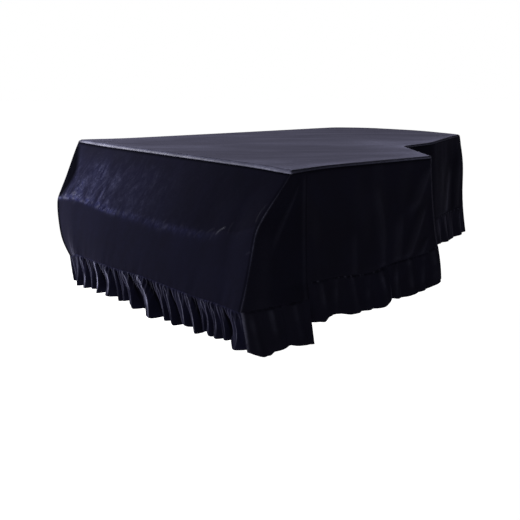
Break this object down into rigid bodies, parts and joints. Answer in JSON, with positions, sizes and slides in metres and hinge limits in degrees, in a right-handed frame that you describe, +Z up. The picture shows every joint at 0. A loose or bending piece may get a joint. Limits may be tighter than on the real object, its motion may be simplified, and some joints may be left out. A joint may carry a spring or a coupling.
{
  "type": "grand piano cover",
  "caption": "Fitted velvet cover shaped to a grand piano: flat top, sloping front flap with cheeks, hanging side panels and a gathered ruffle hem.",
  "frame": {"origin": "middle of the lid, on the flat underside of the top panel, where the cover rests on the piano", "axes": "+X towards the treble side, +Y towards the piano's tail, +Z up"},
  "size_m": [1.6085, 1.9489, 0.6215],
  "materials": {
    "velvet": "dark navy cotton velvet, short pile with a soft lilac sheen"
  },
  "bodies": {
    "root": {"top_panel": "velvet", "front_panel": "velvet", "front_ruffle": "velvet", "treble_cheek_panel": "velvet", "treble_cheek_ruffle": "velvet", "bass_cheek_panel": "velvet", "bass_cheek_ruffle": "velvet", "treble_side_panel": "velvet", "treble_ruffle": "velvet", "bentside_panel": "velvet", "bentside_ruffle": "velvet", "tail_panel": "velvet", "tail_ruffle": "velvet", "bass_side_panel": "velvet", "bass_ruffle": "velvet"}
  },
  "joints": []
}
